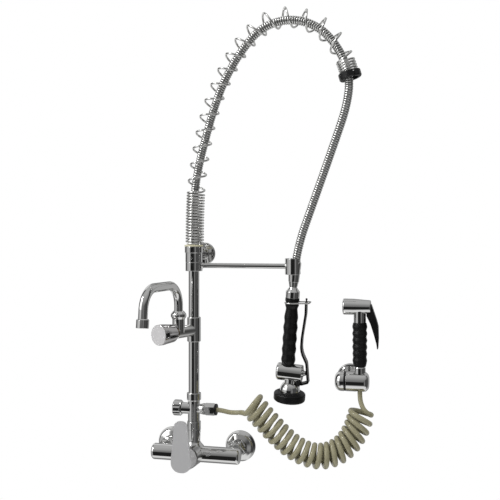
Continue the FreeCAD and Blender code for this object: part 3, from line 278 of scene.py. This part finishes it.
# Moulded nitrile rubber: nearly black and matt, with a fine grain that breaks up its highlights. The grain
# of the mould is drawn coarser than it is, so that it shows.
rubber_grain_mm, rubber_tone_mm = 0.556, 16.7
rubber, tree, shader = new_material("moulded_black_rubber")
place = add(tree, "ShaderNodeTexCoord").outputs["Object"]
grain = add(tree, "ShaderNodeTexNoise", Vector=place, Scale=scale_of(rubber_grain_mm), Detail=3.0)
tone = add(tree, "ShaderNodeTexNoise", Vector=place, Scale=scale_of(rubber_tone_mm), Detail=3.0)
colour = add(tree, "ShaderNodeMix", {"data_type": "RGBA"}, i0=tone.outputs["Fac"],
             i6=hex_colour("090909"), i7=hex_colour("121212"))
tree.links.new(colour.outputs[2], shader.inputs["Base Color"])
shader.inputs["Specular IOR Level"].default_value = 0.3
rough = add(tree, "ShaderNodeMapRange", Value=grain.outputs["Fac"], To_Min=0.3, To_Max=0.5)
tree.links.new(rough.outputs[0], shader.inputs["Roughness"])
bump = add(tree, "ShaderNodeBump", Height=grain.outputs["Fac"], Strength=0.12, Distance=0.0002)
tree.links.new(bump.outputs[0], shader.inputs["Normal"])
paint(chrome, "riser_union_nut", "tee_body", "tee_knob", "hose_outlet_nut")
paint(rubber, "hose_outlet_seal")


# Riser: two lengths of drawn and plated brass tube, the lower one screwed into the stop-valve tee and the
# upper one into the spout's tee. A nut at the top takes the main hose.
paint(chrome, "riser_lower", "riser_upper", "riser_top_nut")


# Spout valve: a plated tee casting on the riser, with a brass headwork screwed into its barrel.
# The large knob is a zinc casting that turns on the headwork.

# Chromed zinc with a satin disc in front: the sides mirror the room, and the flat front stays an even
# pale grey. The disc is where the surface faces the way the knob points.
knob_front = (-0.3987, -0.9171, 0.0)
knob_finish, tree, shader = new_material("chromed_knob_with_satin_disc")
shader.inputs["Base Color"].default_value = hex_colour("d2d0d0")
facing = add(tree, "ShaderNodeTexCoord").outputs["Normal"]
towards_front = add(tree, "ShaderNodeVectorMath", {"operation": "DOT_PRODUCT"}, i0=facing, i1=knob_front)
disc = add(tree, "ShaderNodeMapRange", Value=towards_front.outputs["Value"], From_Min=0.97, From_Max=0.99)
for socket, side_value, disc_value in (("Metallic", 1.0, 0.45), ("Roughness", 0.06, 0.42)):
    value = add(tree, "ShaderNodeMapRange", Value=disc.outputs[0], To_Min=side_value, To_Max=disc_value)
    tree.links.new(value.outputs[0], shader.inputs[socket])
paint(chrome, "spout_tee_body")
paint(brass, "spout_headwork")
paint(knob_finish, "spout_knob")


# Spout: a brass tube bent in a bow and plated, which swivels in the tee under its nut. The aerator at its
# mouth is a plated housing with a white plastic insert.
paint(chrome, "spout_swivel_nut", "spout_tube", "aerator_housing")
paint(white_plastic, "aerator_insert")


# Guide arm: a turned ring that swings on the riser, a drawn rod, and a hook bored to fit the conical nut of
# the hose, open on its far side. All three are plated brass, and the rod is fixed in both.
paint(chrome, "arm_ring", "arm_rod", "hose_holder")


# Wall stay: a plated collar clamped on the riser above the arm, a rod, and a turned flange on the wall.
# A grub screw locks the collar, and countersunk screws fix this flange and the hand shower's bracket.

# Drawn stainless steel: bright and hard-edged, with drawing marks that blur some of its reflections.
drawing_mark_mm = 2.38
steel, tree, shader = new_material("drawn_stainless_steel")
shader.inputs["Metallic"].default_value = 1.0
shader.inputs["Base Color"].default_value = hex_colour("ebebe9")
place = add(tree, "ShaderNodeTexCoord").outputs["Object"]
streak = add(tree, "ShaderNodeTexNoise", Vector=place, Scale=scale_of(drawing_mark_mm), Detail=3.0)
rough = add(tree, "ShaderNodeMapRange", Value=streak.outputs["Fac"], To_Min=0.08, To_Max=0.2)
tree.links.new(rough.outputs[0], shader.inputs["Roughness"])
paint(chrome, "clamp_collar", "wall_rod", "wall_flange")
paint(steel, "clamp_grub_screw", "wall_screws")


# Spring: stainless wire wound closely at both ends and openly between, which holds the hose up in a bow.
# It stands on a cream plastic ring on the clamped collar, and a thick black plastic ring closes its end.

# Moulded nylon: warm cream with a soft gloss.
cream_plastic = even_finish("moulded_cream_plastic", "b9b394", "c9c4a8", 0.25, 0.4)
# Moulded polypropylene: black with a clear gloss.
black_plastic = even_finish("moulded_black_plastic", "0b0b0b", "151515", 0.22, 0.36)
paint(cream_plastic, "spring_seat")
paint(steel, "spring")
paint(black_plastic, "spring_end_ring")


# Main hose: a strip of stainless steel wound and interlocked into a flexible tube over a plain liner.
# It runs from the riser's top nut up inside the spring and down to the gun, and is screwed to both.

def read_route(points_mm, steps=24):
    """Points along the smooth NURBS route with these control points, and the length up to each, in metres."""
    data = bpy.data.curves.new("route", "CURVE")
    data.dimensions = "3D"
    data.resolution_u = steps
    spline = data.splines.new("NURBS")
    spline.points.add(len(points_mm) - 1)
    for point, place in zip(spline.points, points_mm):
        point.co = (*[c * MM for c in place], 1)
    spline.order_u = 3
    spline.use_endpoint_u = True
    curve = bpy.data.objects.new("route", data)
    bpy.context.scene.collection.objects.link(curve)
    bpy.context.view_layer.update()
    mesh = bpy.data.meshes.new_from_object(curve)
    places = [v.co.copy() for v in mesh.vertices]
    bpy.data.objects.remove(curve)
    bpy.data.meshes.remove(mesh)
    lengths = [0.0]
    for a, b in zip(places, places[1:]):
        lengths.append(lengths[-1] + (b - a).length)
    return places, lengths


def along(places, lengths, distance):
    """Point and direction at a distance along the read route."""
    distance = min(max(distance, 0.0), lengths[-1])
    i = 1
    while i < len(lengths) - 1 and lengths[i] < distance:
        i += 1
    share = (distance - lengths[i - 1]) / (lengths[i] - lengths[i - 1])
    here = places[i - 1].lerp(places[i], share)
    before = places[max(i - 2, 0)]
    after = places[min(i + 1, len(places) - 1)]
    return here, (after - before).normalized()


def hose_skin(name, rings, sides):
    """Smooth tube skinned over rings of centre, direction and radius, closed at both ends."""
    mesh = bmesh.new()
    loops = []
    side = Vector((0, 1, 0))
    for centre, direction, radius in rings:
        side = (side - direction * side.dot(direction)).normalized()
        other = direction.cross(side)
        loop = []
        for k in range(sides):
            turn = 2 * math.pi * k / sides
            loop.append(mesh.verts.new(centre + (side * math.cos(turn) + other * math.sin(turn)) * radius))
        loops.append(loop)
    for low, high in zip(loops, loops[1:]):
        for k in range(sides):
            mesh.faces.new((low[k], low[(k + 1) % sides], high[(k + 1) % sides], high[k]))
    mesh.faces.new(loops[0][::-1])
    mesh.faces.new(loops[-1])
    bmesh.ops.recalc_face_normals(mesh, faces=mesh.faces)
    data = bpy.data.meshes.new(name)
    mesh.to_mesh(data)
    mesh.free()
    for face in data.polygons:
        face.use_smooth = True
    tube = bpy.data.objects.new(name, data)
    bpy.context.scene.collection.objects.link(tube)
    return tube


# The gun hangs from the middle of the hook, leaning a little to the left and towards the wall.
gun_at = Vector((204.3, -79.0, 384.5))
lean_left, lean_back = math.radians(4.8), math.radians(5.0)
gun_down = Vector((-math.sin(lean_left) * math.cos(lean_back), math.sin(lean_back),
                   -math.cos(lean_left) * math.cos(lean_back)))

# The hose leaves the riser's axis and stays in the plane of the arm until it bends into the gun.
arm_plane = -79.0
hose_points = [(x, arm_plane, z) for x, z in (
    (-4, 440.5), (-4, 492), (-1.5, 545), (9, 598), (23, 650), (39, 704.5), (60.5, 759.5), (93, 813.5),
    (136, 862), (196, 876.5), (253.5, 856.5), (292.5, 810.5), (314, 755), (307.5, 698), (285, 632),
    (246, 522.5))]
hose_points += [tuple(gun_at + gun_down * drop) for drop in (-28.0, 29.5)]
hose_places, hose_lengths = read_route(hose_points)

# Each winding is a rounded ridge with a groove before it: shares of the pitch, and depths in millimetres.
hose_diameter, hose_pitch, hose_sides = 0.0172, 4.66 * MM, 32
groove_depth = 1.4
winding = ((0.0, groove_depth), (0.18, groove_depth), (0.23, 0.6), (0.36, 0.15), (0.58, 0.0), (0.8, 0.15),
           (0.94, 0.6))
groove_rings = (0, 1, 6)
hose_rings = []
for k in range(int(hose_lengths[-1] / hose_pitch)):
    for share, depth in winding:
        centre, direction = along(hose_places, hose_lengths, (k + share) * hose_pitch)
        hose_rings.append((centre, direction, hose_diameter / 2 - depth * MM))
far_end = along(hose_places, hose_lengths, hose_lengths[-1])
hose_rings.append((*far_end, hose_diameter / 2 - groove_depth * MM))
hose = hose_skin("main_hose_skin", hose_rings, hose_sides)

# Painted shade deep in the grooves: the steel there is drawn dull and nearly black for the shade between the
# windings, so that the ridges stand apart.
groove_shade = even_finish("painted_groove_shade", "222221", "31312f", 0.45, 0.6)
hose.data.materials.append(steel)
hose.data.materials.append(groove_shade)
# Groove faces take the painted shade, and the ridges keep the bright steel.
for i, face in enumerate(hose.data.polygons):
    face.material_index = 1 if (i // hose_sides) % len(winding) in groove_rings else 0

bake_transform(hose)
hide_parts("main_hose")


# Spray gun: plated brass nuts, valve body and bell, with a rubber sleeve over the handle tube and a wide
# rubber bumper round the spray plate. A steel strip on a pin, bent up along the handle, pushes the plunger,
# and a wire loop round the sleeve's collar catches its tip.

# Burnished spring steel: the lever is darker than the drawn wire, and mirrors the room dimly.
burnished_steel = even_finish("burnished_spring_steel", "5a5959", "6b6a69", 0.14, 0.26, metallic=1.0)
paint(chrome, "hose_nut", "gun_top_nut", "gun_valve_body", "gun_dome")
paint(rubber, "gun_grip", "gun_bumper")
paint(steel, "hold_ring", "gun_plunger", "gun_spray_plate", "gun_lever_pin")
paint(burnished_steel, "gun_lever")


# Hand shower's bracket: a turned plate on the wall, a neck bent into an axle, and a barrel with an upright
# hole that tilts on it between an end cap and a black plastic friction ring. All the rest is plated brass.
paint(chrome, "bracket_plate", "bracket_axle", "bracket_end_cap", "bracket_holder")
paint(black_plastic, "friction_ring")


# Hand shower: a plated cast head with a black plastic spray face, a ribbed rubber grip and a plated collar,
# which stands in the barrel. Its trigger is moulded black plastic, forked round a lug on the head.
paint(chrome, "handset_head", "handset_collar")
paint(rubber, "handset_grip")
paint(black_plastic, "handset_spray_face", "handset_trigger")


# Coil hose: a polyurethane tube, straight at both ends and wound on a mandrel in the middle.
# Its turns hang from both ends, so they lean one way at the start, stand upright at the bottom and lean
# the other way at the end. It comes out of the tee's nut and goes up through the bracket's barrel.

def between(marks, share):
    """Value at a share of the way, read off a few marks of share and value."""
    for (a, low), (b, high) in zip(marks, marks[1:]):
        if share <= b:
            return low + (high - low) * (share - a) / (b - a)
    return marks[-1][1]


coil_tube, lead_tube = 5.3, 4.7
lead_in_points = [(37, -79, 92), (55, -79, 91), (71, -79, 87.5), (86, -79.5, 88), (98, -83.5, 90)]
coil_points = [
    (116, -78, 107), (136, -76.5, 85), (157, -74, 62), (178, -70, 40), (201, -67, 21), (228, -64, 8),
    (257, -61, 5), (284, -58, 14), (306, -55, 32), (321, -52, 56), (329, -50, 78), (334, -50, 95)]
lead_out_points = [(352.5, -45, 89), (347, -57, 94), (338, -61, 103), (331.5, -55, 117), (330, -50, 132),
                   (330, -50, 150)]
coil_places, coil_lengths = read_route(coil_points)

# Radius of the turns in millimetres, and their lean along the axis, at shares of the coil's length.
coil_radii = ((0, 23.5), (0.12, 21.5), (0.5, 20.7), (0.8, 22.0), (1, 22.0))
coil_leans = ((0, 0.3), (0.06, 0.16), (0.3, 0.12), (0.5, -0.02), (0.8, -0.26), (0.9, -0.28), (1, -0.05))
sag_at_start, sag_at_end = 0.05, 0.1
turns, per_turn, first_turn_at = 19.9, 16, math.radians(-20)
coil_steps = int(turns * per_turn)
helix = []
side = Vector((0, 1, 0))
for i in range(1, coil_steps + 1):
    share = i / coil_steps
    centre, direction = along(coil_places, coil_lengths, coil_lengths[-1] * share)
    side = (side - direction * side.dot(direction)).normalized()
    across = side.cross(direction)
    turn = first_turn_at - 2 * math.pi * i / per_turn
    sag = sag_at_start + (sag_at_end - sag_at_start) * share
    lean = between(coil_leans, share) * math.cos(turn) - sag * math.sin(turn)
    ray = across * math.cos(turn) + side * math.sin(turn) + direction * lean
    helix.append(tuple(centre / MM + ray * between(coil_radii, share)))

# The straight ends are stretched a little thinner than the wound tube, and swell where the turns begin.
lead_in_length, lead_out_length, swell = 55.0 * MM, 62.0 * MM, 0.2
steps_per_point, tube_sides = 6, 20
tube_places, tube_lengths = read_route(lead_in_points + helix + lead_out_points, steps_per_point)
tube_rings = []
for place, run in zip(tube_places, tube_lengths):
    wound = min(run / lead_in_length, (tube_lengths[-1] - run) / lead_out_length)
    radius = between(((0, lead_tube), (1, lead_tube), (1 + swell, coil_tube)), wound)
    tube_rings.append((place, along(tube_places, tube_lengths, run)[1], radius * MM))
coil_hose = hose_skin("coil_hose_turns", tube_rings, tube_sides)

# Polyurethane tube as extruded: olive beige, evenly coloured, and smooth enough for small sharp glints.
olive_tube = even_finish("glossy_olive_polyurethane_tube", "817c64", "989377", 0.12, 0.22)
coil_hose.data.materials.append(olive_tube)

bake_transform(coil_hose)
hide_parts("coil_hose", "coil_hose_lead_in", "coil_hose_lead_out")


# End of the coil hose: the tube's last stretch, pushed on the tail of the hand shower's collar.
# It lies inside the barrel at rest, and shows when the shower is lifted out.
collar_x, collar_y, end_sides = 330, -50, 32
end_outline = ((129.5, 3.2), (130.0, 4.0), (138.0, 4.2), (149.0, 4.2), (149.6, 3.6))
end_rings = [
    (Vector((collar_x, collar_y, z)) * MM, Vector((0, 0, 1)), radius * MM) for z, radius in end_outline]
coil_hose_end = hose_skin("coil_hose_end", end_rings, end_sides)
coil_hose_end.data.materials.append(olive_tube)
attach(coil_hose_end, "handset")
